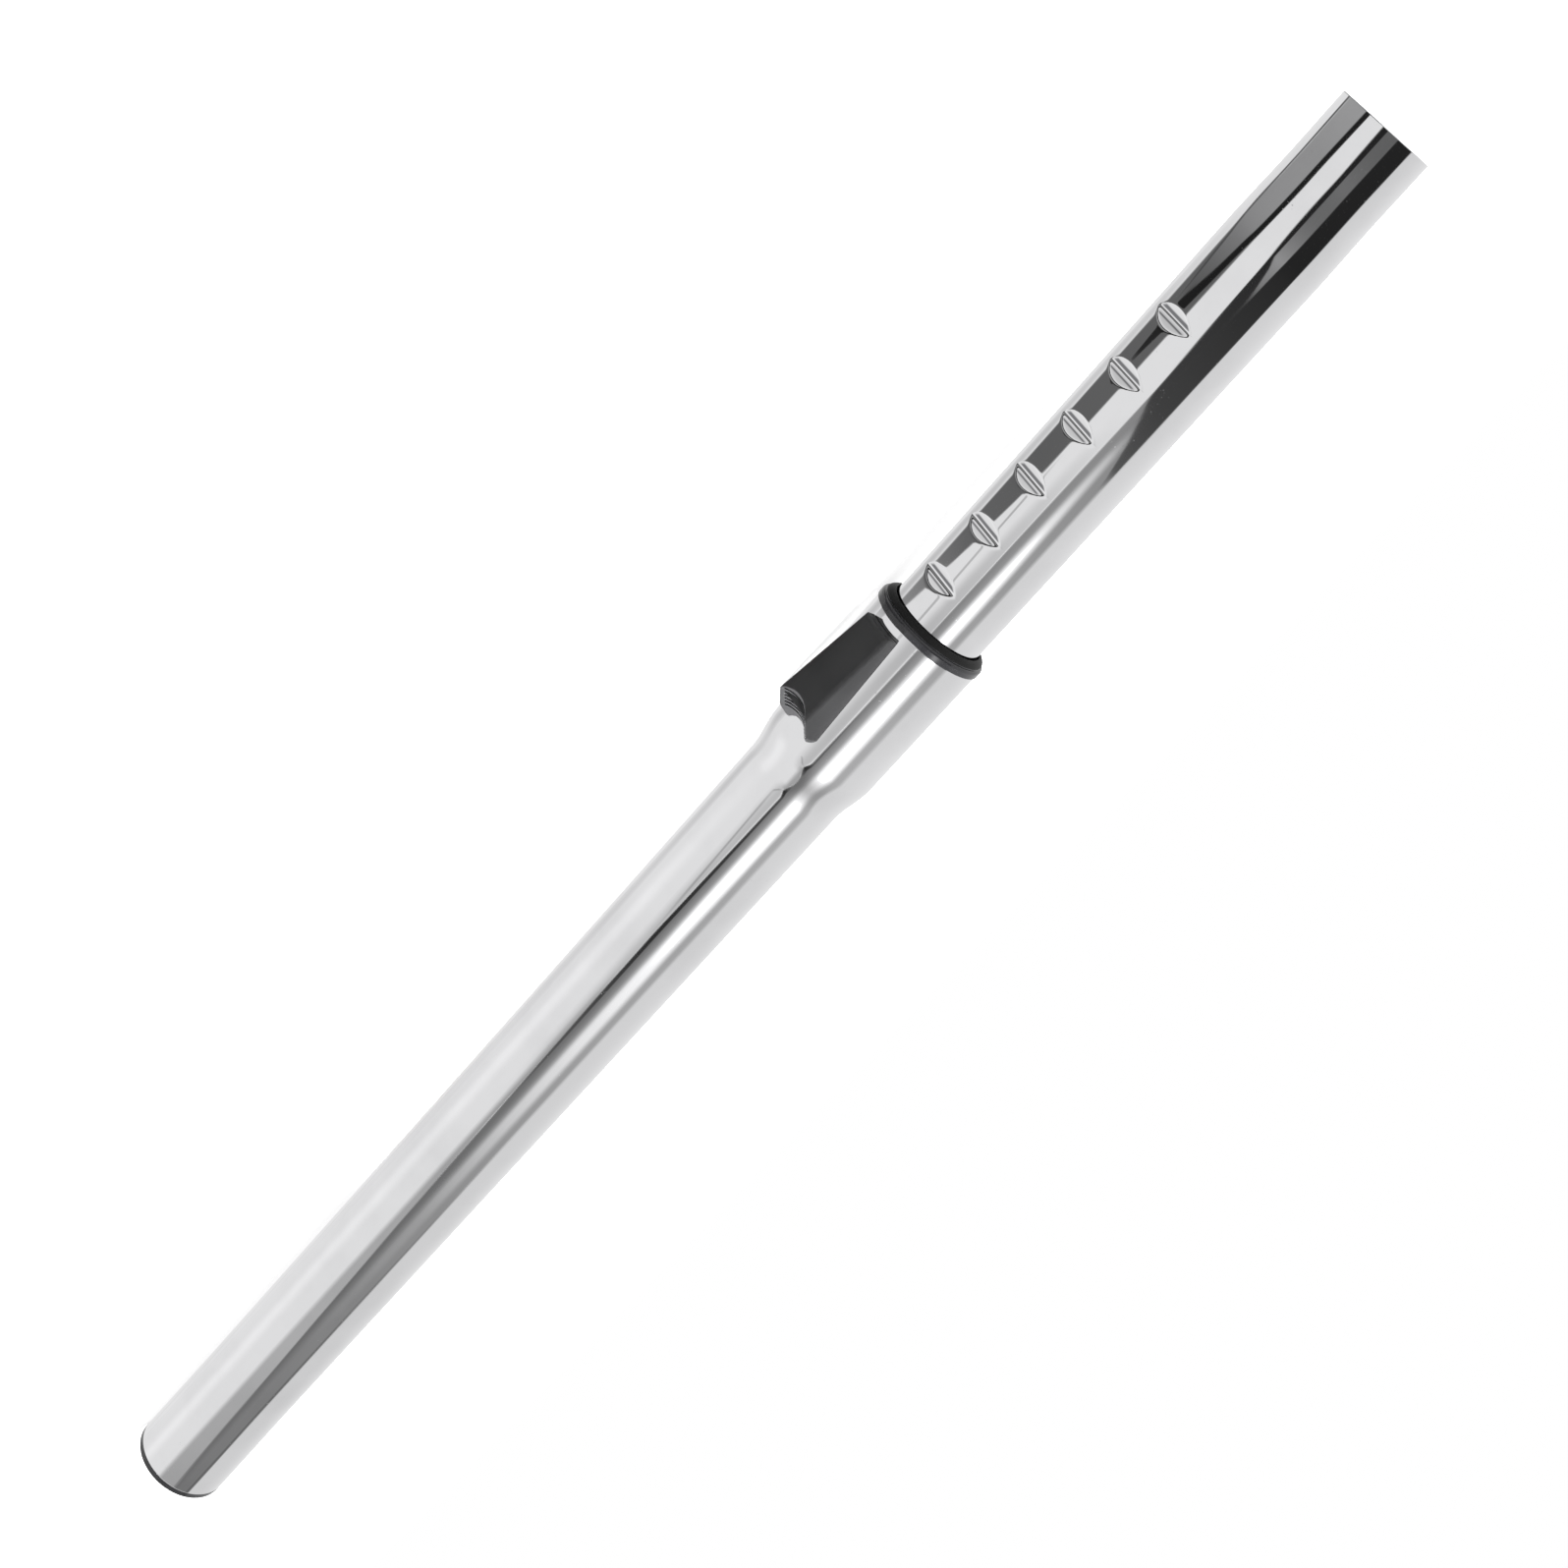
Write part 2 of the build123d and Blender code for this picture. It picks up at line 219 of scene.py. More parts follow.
def point_values(mesh, name, values):
    """Write one number on each point of a mesh."""
    layer = mesh.attributes.new(name, "FLOAT", "POINT")
    layer.data.foreach_set("value", values.astype(np.float32))


def card(name, rows, soft_deg, soft_m, layer=0):
    """One strip from rows of (x, from angle, to angle, brightness), faded at its sides and ends."""
    rows = np.array(rows, float)
    reach = np.concatenate([[0], np.cumsum(np.abs(np.diff(rows[:, 0])))])
    along = np.linspace(0, reach[-1], CARD_STEPS * (len(rows) - 1) + 1)
    line = [np.interp(along, reach, rows[:, k]) for k in range(4)]
    across = (1 - np.cos(np.linspace(0, np.pi, CARD_COLUMNS + 1))) / 2
    x = np.repeat(line[0], len(across))
    angle = (line[1][:, None] * (1 - across) + line[2][:, None] * across).ravel()
    span = np.abs(line[2] - line[1])[:, None]
    side = smooth(across * span / soft_deg[0]) * smooth((1 - across) * span / soft_deg[1])
    end = smooth(along / soft_m[0]) * smooth((reach[-1] - along) / soft_m[1])
    cover = (side * end[:, None]).ravel()
    radius = CARD_RADIUS - LAYER_GAP * layer
    turn = np.radians(angle)
    points = np.column_stack([x, radius * np.sin(turn), radius * np.cos(turn)])
    width = len(across)
    faces = [
        (i * width + j, i * width + j + 1, (i + 1) * width + j + 1, (i + 1) * width + j)
        for i in range(len(along) - 1)
        for j in range(width - 1)
    ]
    mesh = bpy.data.meshes.new(name)
    mesh.from_pydata(points.tolist(), [], faces)
    point_values(mesh, "tone", np.repeat(line[3], width))
    point_values(mesh, "cover", cover)
    mesh.materials.append(CARD_PAINT)
    strip = bpy.data.objects.new(name, mesh)
    bpy.context.scene.collection.objects.link(strip)
    strip.visible_camera = False
    strip.visible_diffuse = False
    strip.visible_shadow = False
    strip.visible_transmission = False
    cards.append(strip)


print("cards stand", CARD_RADIUS, "m from the axis")

# %% [markdown]
# The room comes first: a grey ceiling, a grey panel beside the lens, a bright floor and the floor's dim
# far end. They all have wide, soft edges.

# %% Room panels
card("ceiling", [(1.3, -70, 14, 0.7), (0.2, -74, 14, 0.8), (-0.3, -90, 14, 0.75), (-1.0, -94, 14, 0.72)],
     (80, 3), (0.05, 0.05))
card("beside_lens", [(0.46, 74, 108, 0.8), (0.3, 77, 114, 0.58), (0.0, 86, 114, 0.6),
                     (-0.2, 88, 108, 0.68)], (3, 24), (0.05, 0.08))
card("bright_floor", [(0.15, 130, 182, 1.0), (-0.8, 128, 172, 1.0)], (24, 24), (0.08, 0.1))
card("floor_end", [(0.6, 190, 228, 0.75), (0.25, 186, 228, 0.6), (-0.2, 188, 226, 0.85),
                   (-0.8, 192, 228, 0.92)], (16, 20), (0.05, 0.1))
print("room", [strip.name for strip in cards])

# %% [markdown]
# One long softbox hangs above the lens. Its cloth is grey and its middle glows, so the tube gets a white
# stripe that fades towards both ends. Its core is brighter still, for a highlight on the black collar.
# Flags follow its lower edge and draw the thin dark line.

# %% Softbox and its flags
card("softbox_body", [(0.55, 8, 72, 0.22), (0.2, 6, 80, 0.5), (-0.05, 7, 90, 0.45), (-0.3, 8, 76, 0.32),
                      (-0.8, 8, 46, 0.16)], (10, 3), (0.05, 0.1), 1)
card("softbox_glow", [(0.47, 36, 64, 0.4), (0.33, 26, 64, 1.3), (0.15, 24, 66, 1.6), (-0.05, 24, 66, 1.1),
                      (-0.3, 25, 66, 0.4), (-0.5, 28, 58, 0.22)], (16, 16), (0.03, 0.08), 2)
card("softbox_core", [(0.38, 40, 52, 2.5), (0.25, 35, 55, 6.0), (-0.02, 36, 56, 3.0)],
     (8, 8), (0.06, 0.08), 3)
card("low_panel", [(-0.03, 86, 98, 0.38), (-0.2, 80, 98, 0.42), (-0.45, 63, 99, 0.5), (-0.8, 28, 98, 0.36)],
     (2, 14), (0.04, 0.1), 2)
card("edge_flag", [(0.47, 50, 74, 0.32), (0.2, 54, 80, 0.23), (-0.05, 52, 88, 0.2), (-0.3, 46, 77, 0.18),
                   (-0.7, 30, 46, 0.14)], (26, 4), (0.02, 0.05), 3)
card("edge_line", [(0.23, 74, 79, 0.15), (0.1, 75, 84, 0.05), (0.0, 77, 89, 0.03), (-0.18, 75, 81, 0.15)],
     (3, 3), (0.05, 0.06), 4)
card("second_line", [(0.15, 100, 107, 0.45), (0.0, 87, 94, 0.4)], (3, 3), (0.03, 0.05), 4)
card("upper_line", [(-0.2, 10, 19, 0.3), (-0.45, 10, 20, 0.15), (-0.8, 8, 19, 0.1)], (4, 5), (0.1, 0.1), 4)
print(len(cards), "cards with the softbox")

# %% [markdown]
# A black flag with a small window stands before the free end, and the corner of a dark table lies below it.
# The last cards close the room at both ends, where only the slopes of the notches look.

# %% Near flag, table and room ends
card("near_flag", [(0.42, 12, 18, 0.12), (0.46, 11, 46, 0.08), (0.48, 11, 72, 0.06), (0.6, 9, 84, 0.02),
                   (0.8, 3, 100, 0.02)], (3, 3), (0.01, 0.05), 3)
card("near_window", [(0.56, 53, 56, 0.2), (0.6, 50, 76, 0.33), (0.66, 48, 76, 0.14), (0.8, 45, 75, 0.14)],
     (2, 2), (0.005, 0.05), 4)
card("table_shade", [(0.65, 126, 198, 0.14), (0.4, 129, 193, 0.13), (0.33, 144, 192, 0.15),
                     (0.25, 174, 191, 0.38)], (4, 6), (0.02, 0.02), 1)
card("table_edge", [(0.48, 152, 156, 0.03), (0.54, 139, 167, 0.015), (0.6, 128, 144, 0.015),
                    (0.8, 116, 134, 0.02)], (2, 2), (0.005, 0.05), 2)
card("table_top", [(0.535, 163, 168, 0.08), (0.57, 146, 182, 0.18), (0.61, 139, 192, 0.3),
                   (0.8, 129, 199, 0.5)], (2, 2), (0.005, 0.05), 3)
card("table_rim", [(0.535, 168, 174, 0.05), (0.61, 191, 199, 0.12), (0.8, 199, 208, 0.13)],
     (2, 2), (0.005, 0.05), 4)
card("thin_line", [(0.42, 122, 129, 0.47), (0.25, 111, 118, 0.5)], (3, 3), (0.02, 0.02), 2)
card("near_edge", [(0.7, 90, 250, 0.03), (0.86, 90, 250, 0.03)], (10, 10), (0.03, 0.03), 5)
card("near_end", [(0.85, 90, 250, 0.6), (3.0, 90, 250, 0.6)], (10, 10), (0.05, 0.05), 4)
card("far_end", [(-1.9, 90, 250, 0.05), (-0.85, 90, 250, 0.05)], (10, 10), (0.05, 0.05), 4)
print(len(cards), "cards in all")

# %% [markdown]
# ## From drawing to resting pose
# The tube is drawn with its slider straight up, in millimetres, as in the CAD source. One roll about X
# takes each mesh to the pose in which the tube lies still.

# %% Resting pose
REST_ROLL = math.radians(-116.35)
MM = 0.001


def at_rest(points):
    """Millimetres with the slider up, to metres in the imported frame."""
    p = np.asarray(points, float) * MM
    c, s = math.cos(REST_ROLL), math.sin(REST_ROLL)
    return np.column_stack([p[:, 0], p[:, 1] * c - p[:, 2] * s, p[:, 1] * s + p[:, 2] * c])


print("straight up comes to", at_rest([(0, 0, 1 / MM)])[0].round(3))

# %% Pieces and rings


def add_piece(name, points, faces, body, slot, *replaced):
    """Smooth mesh piece that rides a body and stands for CAD nodes."""
    mesh = bpy.data.meshes.new(name)
    mesh.from_pydata(at_rest(points).tolist(), [], faces)
    shell = bmesh.new()
    shell.from_mesh(mesh)
    bmesh.ops.recalc_face_normals(shell, faces=shell.faces)
    shell.to_mesh(mesh)
    shell.free()
    mesh.shade_smooth()
    piece = bpy.data.objects.new(name, mesh)
    bpy.context.scene.collection.objects.link(piece)
    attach(piece, body)
    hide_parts(*replaced)
    print(name, len(mesh.vertices), "points", len(mesh.polygons), "faces")
    return piece


def ring_points(x, radius, angles):
    """Points round the tube, at one station or one radius per angle."""
    stations = np.full(len(angles), float(x))
    return np.column_stack([stations, radius * np.sin(angles), radius * np.cos(angles)])


def ring_faces(rings, columns):
    """Quads between neighbouring rings, the last ring joined to the first."""
    quads = []
    for i in range(rings):
        k = (i + 1) % rings
        for j in range(columns):
            m = (j + 1) % columns
            quads.append((i * columns + j, k * columns + j, k * columns + m, i * columns + m))
    return quads


print("three rings of four points give", len(ring_faces(3, 4)), "quads")

# %% [markdown]
# ## Outer tube
# The outer tube is thin chromed steel, very slightly flared at the far end and belled out at its
# mouth. Polished metal shows every facet, so the tube is a fine grid of its own and not the
# CAD mesh. Leaving out a patch of the grid opens the window under the slider, and a wall
# of quads joins the two skins around it.

# %% Outer tube stations
WALL = 0.7
OUTER_R, FLARE_R, BELL_R = 19.0, 19.3, 21.25
RIM, FLARE_END, BELL_START, BELL_END, MOUTH = 2.6, 57.6, 395.5, 412.5, 466.5
WINDOW = (MOUTH - 42.5, MOUTH - 7.6)
WINDOW_HALF_WIDTH = 6.9
WINDOW_HALF_ANGLE = math.asin(WINDOW_HALF_WIDTH / BELL_R)
EDGE_ROUND = 0.15
EDGE_STATIONS = np.array([0, 0.3, 1, 2, 4]) * EDGE_ROUND


def outer_radius(x):
    """Outside radius of the outer tube."""
    flare = OUTER_R + (FLARE_R - OUTER_R) * smooth((FLARE_END - x) / (FLARE_END - RIM))
    along_bell = np.clip((x - BELL_START) / (BELL_END - BELL_START), 0, 1)
    bell = (BELL_R - OUTER_R) * (1 - np.cos(np.pi * along_bell)) / 2
    return flare + bell


outer_x = np.unique(np.round(np.concatenate([
    RIM + EDGE_STATIONS,
    np.arange(RIM + 1, FLARE_END + 6, 3.0),
    np.arange(FLARE_END + 8, BELL_START - 6, 9.0),
    np.arange(BELL_START - 5, BELL_END + 5, 0.6),
    np.linspace(BELL_END + 5, WINDOW[0], 3),
    np.linspace(WINDOW[0], WINDOW[1], 6),
    MOUTH - EDGE_STATIONS,
]), 4))
turn = np.radians(np.arange(-180, 180, 2.0))
turn[np.argmin(np.abs(turn - WINDOW_HALF_ANGLE))] = WINDOW_HALF_ANGLE
turn[np.argmin(np.abs(turn + WINDOW_HALF_ANGLE))] = -WINDOW_HALF_ANGLE
columns = len(turn)
count = len(outer_x)
print(count, "stations of", columns, "columns")

# %% Outer tube skins
to_end = np.minimum(outer_x - RIM, MOUTH - outer_x)
past_round = np.maximum(EDGE_ROUND - to_end, 0)
rounding = EDGE_ROUND - np.sqrt(np.maximum(EDGE_ROUND ** 2 - past_round ** 2, 0))
skin_out = [ring_points(x, outer_radius(x) - cut, turn) for x, cut in zip(outer_x, rounding)]
skin_in = [ring_points(x, outer_radius(x) - WALL, turn) for x in outer_x[::-1]]
points = np.vstack(skin_out + skin_in)
print("two skins", len(points), "points")

# %% Open the window and build the outer tube
SHARP_FROM = math.radians(40)
in_x = (outer_x[:-1] > WINDOW[0] - 0.01) & (outer_x[1:] < WINDOW[1] + 0.01)
in_turn = (turn > -WINDOW_HALF_ANGLE - 0.001) & (turn < WINDOW_HALF_ANGLE - 0.001)
window_rows = set(np.flatnonzero(in_x)) | {2 * count - 2 - k for k in np.flatnonzero(in_x)}
window_columns = np.flatnonzero(in_turn)
faces = [
    quad for n, quad in enumerate(ring_faces(2 * count, columns))
    if not (n // columns in window_rows and n % columns in set(window_columns))
]
k0, k1 = np.flatnonzero(in_x)[0], np.flatnonzero(in_x)[-1] + 1
j0, j1 = window_columns[0], window_columns[-1] + 1


def skins(k, j):
    """The same grid place on the outer and on the inner skin."""
    return k * columns + j, (2 * count - 1 - k) * columns + j


for j in (j0, j1):
    for k in range(k0, k1):
        faces.append((*skins(k, j), *reversed(skins(k + 1, j))))
for k in (k0, k1):
    for j in range(j0, j1):
        faces.append((*skins(k, j), *reversed(skins(k, j + 1))))
faces = [tuple(int(v) for v in quad) for quad in faces]
outer_piece = add_piece("chromed_outer_tube", points, faces, "outer", "chrome_tube", "outer_tube")
outer_piece.data.set_sharp_from_angle(angle=SHARP_FROM)

# %% [markdown]
# ## Inner tube
# The inner tube has a row of pressed notches for the lock roller. Each has two straight slopes that meet in
# a rounded crease across the tube, so its outline is an almond with pointed tips. The skin takes the lower
# of tube and notch, and a soft minimum rounds the lip as pressing does. The grid is fine at the notches
# and wide elsewhere.

# %% Tube and notch radius
INNER_R, SPIGOT_R = 17.5, 17.0
HIDDEN_END, FREE_END, SPIGOT, TAPER = 234.5, 677.75, 20.0, 30.0
NOTCH_DEPTH, NOTCH_PITCH, NOTCH_COUNT = 2.0, 22.0, 13
NOTCH_SLOPE, CREASE_ROUND = math.tan(math.radians(34)), 0.5
NOTCH_REACH, NOTCH_GRID = 5.2, 5.3
LIP_NEAR, LIP_FAR = 0.12, 0.2
FIRST_NOTCH = MOUTH + 130.0
NOTCH_X = [FIRST_NOTCH - NOTCH_PITCH * i for i in range(NOTCH_COUNT)]
LEAST_FACING = 0.05


def soft_min(a, b, k):
    """Lower of two surfaces, blended over about k."""
    low = np.minimum(a, b)
    return low - k * np.log1p(np.exp(-np.abs(a - b) / k))


def plain_radius(x):
    """Radius of the tube without its notches."""
    return INNER_R - (INNER_R - SPIGOT_R) * smooth((x - (FREE_END - SPIGOT - TAPER)) / TAPER)


def notched_radius(x, angles, sink):
    """Radius at one station, with the nearest notch pressed in, sunk by a wall or by nothing."""
    base = np.full(len(angles), plain_radius(x) - sink)
    dx = min((x - n for n in NOTCH_X), key=abs)
    if abs(dx) > NOTCH_REACH:
        return base
    rise = math.hypot(dx * NOTCH_SLOPE, CREASE_ROUND) - CREASE_ROUND
    slope = (INNER_R - NOTCH_DEPTH - sink + rise) / np.maximum(np.cos(angles), LEAST_FACING)
    return soft_min(base, slope, LIP_NEAR if dx > 0 else LIP_FAR)


print("radius in a notch", notched_radius(FIRST_NOTCH, np.zeros(1), 0).round(2))

# %% Inner tube stations
fine = np.arange(-36, 36.1, 1.2)
wide = np.arange(40, 320.1, 4.0)
turn = np.radians(np.concatenate([fine, wide]))
half_steps = np.concatenate([
    np.arange(0.2, 1.7, 0.2),
    np.arange(2.0, 3.0, 0.35),
    np.arange(3.1, 4.7, 0.25),
    [NOTCH_GRID],
])
notch_steps = np.concatenate([-half_steps[::-1], [0], half_steps])
outer_x = np.unique(np.round(np.concatenate([
    [HIDDEN_END, HIDDEN_END + 0.1, HIDDEN_END + 10, HIDDEN_END + 50],
    *[n + notch_steps for n in NOTCH_X],
    np.arange(FREE_END - 60, FREE_END - 3, 3.0),
    FREE_END - np.array([1.0, 0.4, 0.25, 0.15, 0.06, 0.02, 0]),
]), 4))
inner_x = np.unique(np.round(np.concatenate([
    [HIDDEN_END, HIDDEN_END + 50],
    *[n + np.linspace(-NOTCH_GRID, NOTCH_GRID, 9) for n in NOTCH_X],
    np.arange(FREE_END - 60, FREE_END - 3, 6.0),
    FREE_END - np.array([0.6, 0.25, 0.1, 0]),
]), 4))
print(len(outer_x), "stations outside", len(inner_x), "inside", len(turn), "columns")

# %% Build the inner tube
FREE_EDGE = 0.25


def free_edge_cut(x):
    """How far the round edge of the free end draws a skin back at each station."""
    past_round = np.maximum(FREE_EDGE - (FREE_END - x), 0)
    return FREE_EDGE - np.sqrt(FREE_EDGE ** 2 - past_round ** 2)


skin_out = [
    ring_points(x, notched_radius(x, turn, 0) - cut, turn)
    for x, cut in zip(outer_x, free_edge_cut(outer_x))
]
skin_in = [
    ring_points(x, notched_radius(x, turn, WALL) + cut, turn)
    for x, cut in zip(inner_x, free_edge_cut(inner_x))
]
points = np.vstack(skin_out + skin_in[::-1])
faces = ring_faces(len(skin_out) + len(skin_in), len(turn))
inner_piece = add_piece("chromed_inner_tube", points, faces, "inner", "chrome_tube", "inner_tube")

# %% [markdown]
# A value on each point paints shade into the notches: a wide dark band on one slope, a thin dark line on
# the other, and nothing outside the notches. The chrome reads it later and darkens its colour there, as
# painted shade.

# %% Paint shade on the notch slopes
# Painted shade in the notches: a dark band on one slope and a thin dark line on the other.
SHADE_BAND, SHADE_BAND_FADES, SHADE_BAND_AMOUNT = (0.5, 2.1), (0.3, 0.5), 0.85
SHADE_LINE_AT, SHADE_LINE_WIDTH = -1.5, 0.22
SHADE_FROM, SHADE_FADE = 0.1, 0.4


def shaded(x, angles):
    """How much painted shade darkens the skin at one station."""
    dx = min((x - n for n in NOTCH_X), key=abs)
    depth = plain_radius(x) - notched_radius(x, angles, 0)
    line = math.exp(-((dx - SHADE_LINE_AT) / SHADE_LINE_WIDTH) ** 2)
    rise = smooth((dx - SHADE_BAND[0]) / SHADE_BAND_FADES[0])
    fall = smooth((SHADE_BAND[1] - dx) / SHADE_BAND_FADES[1])
    return max(line, SHADE_BAND_AMOUNT * rise * fall) * smooth((depth - SHADE_FROM) / SHADE_FADE)


notch_shade = np.concatenate([shaded(x, turn) for x in outer_x] + [np.zeros(len(turn))] * len(skin_in))
point_values(inner_piece.data, "notch_shade", notch_shade)
print("rubbed points", int((notch_shade > 0.1).sum()))

# %% [markdown]
# ## Collar, wiper and socket liner
# These are turned mouldings, so a lathe suits them: an outline of stations and radii, spun about X.
# A moulded edge is never sharp. Each corner of the outline gets a small arc, with a
# support point on either side, so that the flat faces stay flat when the shading is smooth.

# %% Lathe with softened corners
SPIN_COLUMNS = 160
ARC_STEPS = 5
ARC_SHARE = 0.3
SUPPORT_AT = 1.3


def softened(outline, radius):
    """Closed outline with every corner replaced by a small arc."""
    result = []
    corners = np.array(outline, float)
    for i, corner in enumerate(corners):
        to_last = corners[i - 1] - corner
        to_next = corners[(i + 1) % len(corners)] - corner
        a, b = np.linalg.norm(to_last), np.linalg.norm(to_next)
        to_last, to_next = to_last / a, to_next / b
        reach = min(radius, ARC_SHARE * a, ARC_SHARE * b)
        start, stop = corner + to_last * reach, corner + to_next * reach
        result.append(corner + to_last * reach * SUPPORT_AT)
        for u in np.linspace(0, 1, ARC_STEPS):
            result.append((1 - u) ** 2 * start + 2 * u * (1 - u) * corner + u ** 2 * stop)
        result.append(corner + to_next * reach * SUPPORT_AT)
    return np.array(result)


def turned(name, outline, radius, body, slot, node):
    """Lathe a softened outline of (x, radius) points."""
    turn = np.linspace(-np.pi, np.pi, SPIN_COLUMNS, endpoint=False)
    profile = softened(outline, radius)
    points = np.vstack([ring_points(x, r, turn) for x, r in profile])
    return add_piece(name, points, ring_faces(len(profile), SPIN_COLUMNS), body, slot, node)


print("a softened square has", len(softened([(0, 0), (0, 1), (1, 1), (1, 0)], 0.1)), "points")

# %% Collar, wiper, liner
COLLAR_R, COLLAR_BORE_R, COLLAR_SKIRT_R, COLLAR_LIP_R = 21.65, 19.3, 20.45, 18.05
COLLAR_ROUND, WIPER_ROUND, LINER_ROUND = 0.2, 0.15, 0.45
WIPER_R, WIPER_OUTER_R = 17.65, 19.2
LINER_R, LINER_SEAT_R, LINER_TIP_R, LINER_END = 17.55, 18.5, 18.3, 36.6

# Each point is a distance and a radius. Those of collar and wiper count from the mouth.
skirt = [(-6.0, COLLAR_BORE_R), (-6.0, COLLAR_SKIRT_R), (0, COLLAR_SKIRT_R), (0, COLLAR_R)]
band = [(2.1, COLLAR_R), (2.6, 21.48), (2.95, 21.1)]
groove = [(3.12, 20.5), (3.4, 20.44)]
nose = [(3.62, 20.62), (4.0, 20.44), (4.5, 19.96), (4.95, 19.36), (5.25, 18.76)]
lip = [(5.4, 18.35), (5.3, COLLAR_LIP_R), (4.0, COLLAR_LIP_R), (4.0, COLLAR_BORE_R)]
wiper = [(2.0, 18.15), (2.0, WIPER_OUTER_R), (3.9, WIPER_OUTER_R), (3.9, 18.35)]
wiper_edge = [(3.3, WIPER_R), (2.7, WIPER_R)]
liner_rim = [(0, LINER_R), (0, FLARE_R), (RIM, FLARE_R), (RIM, LINER_SEAT_R)]
liner_tip = [(LINER_END, LINER_TIP_R), (LINER_END, LINER_R)]


def past_mouth(outline):
    """Move an outline from the mouth of the outer tube to its place along X."""
    return [(MOUTH + x, r) for x, r in outline]


collar_piece = turned(
    "moulded_collar", past_mouth(skirt + band + groove + nose + lip),
    COLLAR_ROUND, "outer", "black_plastic", "mouth_collar")
wiper_piece = turned(
    "rubber_wiper", past_mouth(wiper + wiper_edge), WIPER_ROUND, "outer", "soft_rubber", "wiper_ring")
liner_piece = turned(
    "moulded_liner", liner_rim + liner_tip, LINER_ROUND, "outer", "black_plastic", "socket_liner")

# %% [markdown]
# ## Effects that several finishes share
# Three node groups are made once and used with their own values. Marks gives soft smudges
# and small specks, grain gives the fine bumps of a spark-eroded mould, and the edge group finds ridges by
# comparing the true normal with a rounded one. The ridges it finds are lightened, partly as wear and partly
# as a painted highlight.

# %% Node helpers


def new_group(name, inputs, outputs):
    """Empty shader group with float sockets."""
    group = bpy.data.node_groups.new(name, "ShaderNodeTree")
    for label, value in inputs:
        socket = group.interface.new_socket(label, in_out="INPUT", socket_type="NodeSocketFloat")
        socket.default_value = value
    for label in outputs:
        group.interface.new_socket(label, in_out="OUTPUT", socket_type="NodeSocketFloat")
    return group, group.nodes.new("NodeGroupInput"), group.nodes.new("NodeGroupOutput")


def place(tree, kind, **values):
    """Add a node and set the named inputs or properties."""
    node = tree.nodes.new(kind)
    for key, value in values.items():
        if key in node.bl_rna.properties:
            setattr(node, key, value)
        else:
            node.inputs[key.replace("_", " ")].default_value = value
    return node


def remap(tree, value, low, high, to_low, to_high):
    """Map a range to another, clamped."""
    node = place(tree, "ShaderNodeMapRange", clamp=True)
    ends = {"From Min": low, "From Max": high, "To Min": to_low, "To Max": to_high}
    for label, number in ends.items():
        node.inputs[label].default_value = number
    tree.links.new(value, node.inputs["Value"])
    return node.outputs["Result"]


print("node helpers", [helper.__name__ for helper in (new_group, place, remap)])

# %% Handling marks
marks, marks_in, marks_out = new_group(
    "handling_marks", [("Size", 30.0), ("Speck Size", 900.0)], ["Smudge", "Speck"])
where = marks.nodes.new("ShaderNodeTexCoord")
cloud = place(marks, "ShaderNodeTexNoise", Detail=5.0, Roughness=0.62)
marks.links.new(where.outputs["Object"], cloud.inputs["Vector"])
marks.links.new(marks_in.outputs["Size"], cloud.inputs["Scale"])
marks.links.new(remap(marks, cloud.outputs["Fac"], 0.45, 0.75, 0, 1), marks_out.inputs["Smudge"])
dots = place(marks, "ShaderNodeTexVoronoi", feature="F1")
marks.links.new(where.outputs["Object"], dots.inputs["Vector"])
marks.links.new(marks_in.outputs["Speck Size"], dots.inputs["Scale"])
pick = place(marks, "ShaderNodeTexNoise", Scale=160.0, Detail=1.0)
marks.links.new(where.outputs["Object"], pick.inputs["Vector"])
spot = remap(marks, dots.outputs["Distance"], 0.1, 0.22, 1, 0)
rare = remap(marks, pick.outputs["Fac"], 0.6, 0.72, 0, 1)
both = place(marks, "ShaderNodeMath", operation="MULTIPLY")
marks.links.new(spot, both.inputs[0])
marks.links.new(rare, both.inputs[1])
marks.links.new(both.outputs[0], marks_out.inputs["Speck"])
print(marks.name, len(marks.nodes), "nodes")

# %% Mould grain
grain, grain_in, grain_out = new_group("mould_grain", [("Size", 2500.0)], ["Height", "Tint"])
where = grain.nodes.new("ShaderNodeTexCoord")
bumps = place(grain, "ShaderNodeTexNoise", Detail=3.0, Roughness=0.55)
grain.links.new(where.outputs["Object"], bumps.inputs["Vector"])
grain.links.new(grain_in.outputs["Size"], bumps.inputs["Scale"])
grain.links.new(bumps.outputs["Fac"], grain_out.inputs["Height"])
blotch = place(grain, "ShaderNodeTexNoise", Scale=70.0, Detail=4.0)
grain.links.new(where.outputs["Object"], blotch.inputs["Vector"])
grain.links.new(remap(grain, blotch.outputs["Fac"], 0.35, 0.7, 0, 1), grain_out.inputs["Tint"])
print(grain.name, len(grain.nodes), "nodes")

# %% Edges for wear and painted highlight
edge_wear_highlight, edge_wear_highlight_in, edge_wear_highlight_out = new_group("edge_wear_and_highlight", [("Width", 0.0005)], ["Edge"])
true_normal = edge_wear_highlight.nodes.new("ShaderNodeNewGeometry")
rounded = place(edge_wear_highlight, "ShaderNodeBevel", samples=6)
edge_wear_highlight.links.new(edge_wear_highlight_in.outputs["Width"], rounded.inputs["Radius"])
facing = place(edge_wear_highlight, "ShaderNodeVectorMath", operation="DOT_PRODUCT")
edge_wear_highlight.links.new(true_normal.outputs["Normal"], facing.inputs[0])
edge_wear_highlight.links.new(rounded.outputs["Normal"], facing.inputs[1])
edge_wear_highlight.links.new(remap(edge_wear_highlight, facing.outputs["Value"], 0.99, 0.85, 0, 1), edge_wear_highlight_out.inputs["Edge"])
